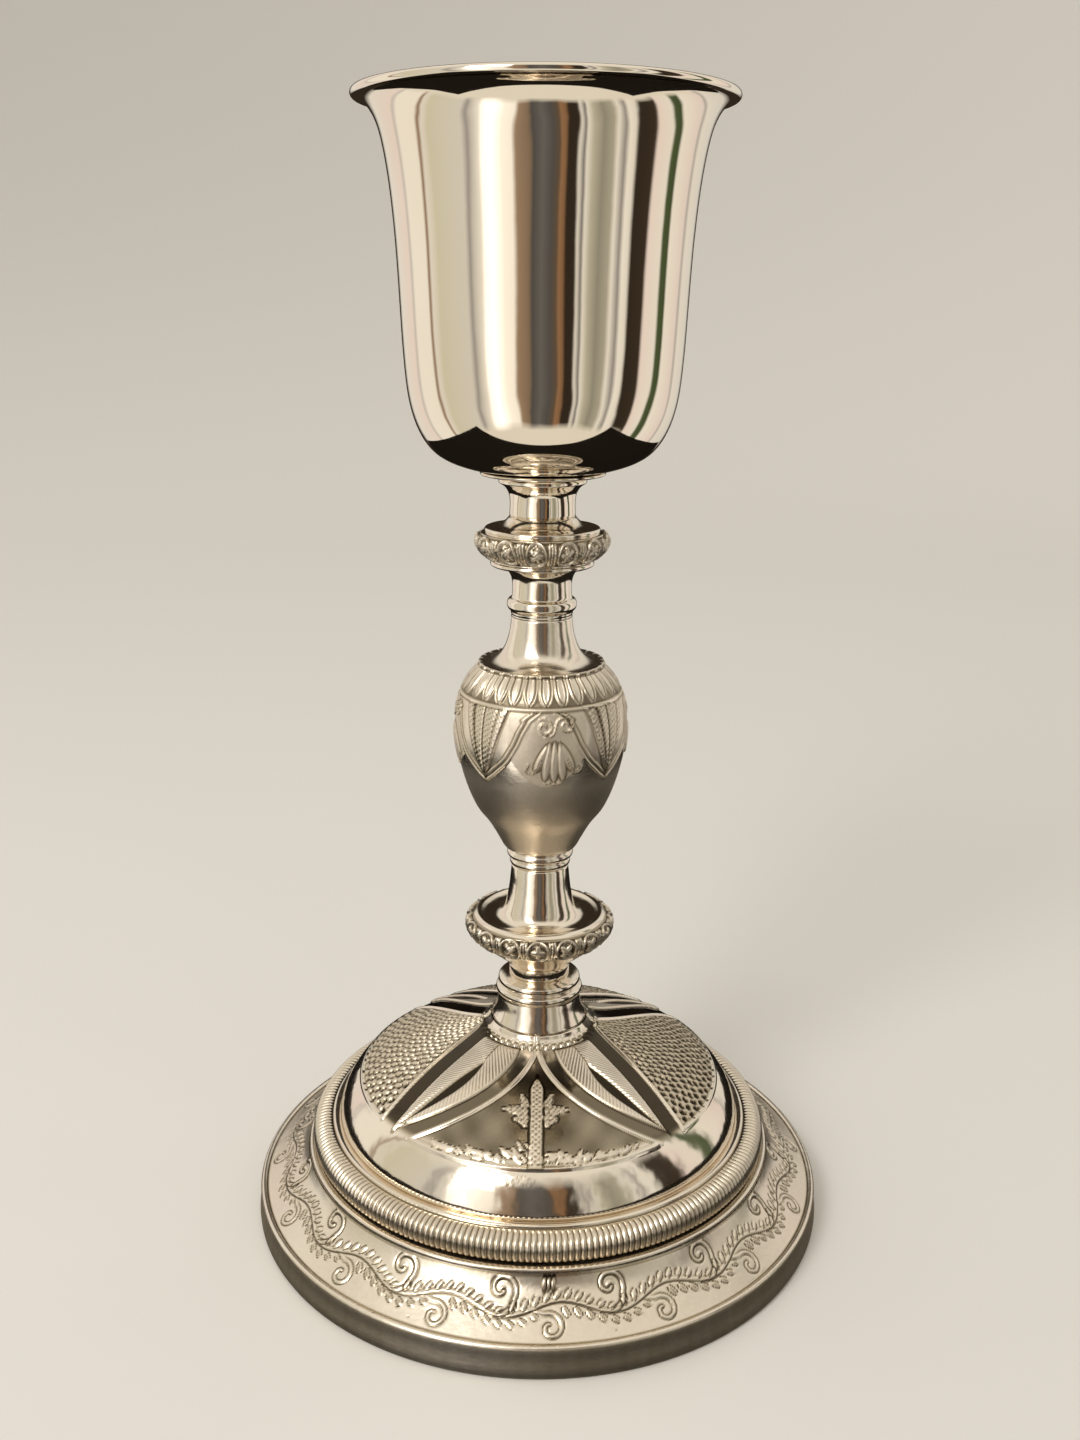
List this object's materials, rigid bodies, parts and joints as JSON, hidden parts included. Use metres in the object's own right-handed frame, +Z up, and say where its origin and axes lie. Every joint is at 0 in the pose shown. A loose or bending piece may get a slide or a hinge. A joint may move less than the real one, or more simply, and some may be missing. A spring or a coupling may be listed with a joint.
{
  "type": "chalice",
  "caption": "Silver altar chalice with a plain polished bell cup, an urn-shaped knop and a chased domed foot with a cross panel.",
  "frame": {"origin": "centre of the foot's underside, where it stands", "axes": "+Z up the stem to the cup's mouth, -Y the front with the cross panel, +X to the right seen from the front"},
  "size_m": [0.145, 0.145, 0.2689],
  "materials": {
    "polished_silver": "mirror polished, warm",
    "chased_silver": "satin and chased, darkened in the recesses"
  },
  "bodies": {
    "root": {"foot": "chased_silver", "lower_knop": "chased_silver", "urn_knop": "chased_silver", "upper_knop": "chased_silver", "cup_collar": "polished_silver", "cup": "polished_silver"}
  },
  "joints": []
}
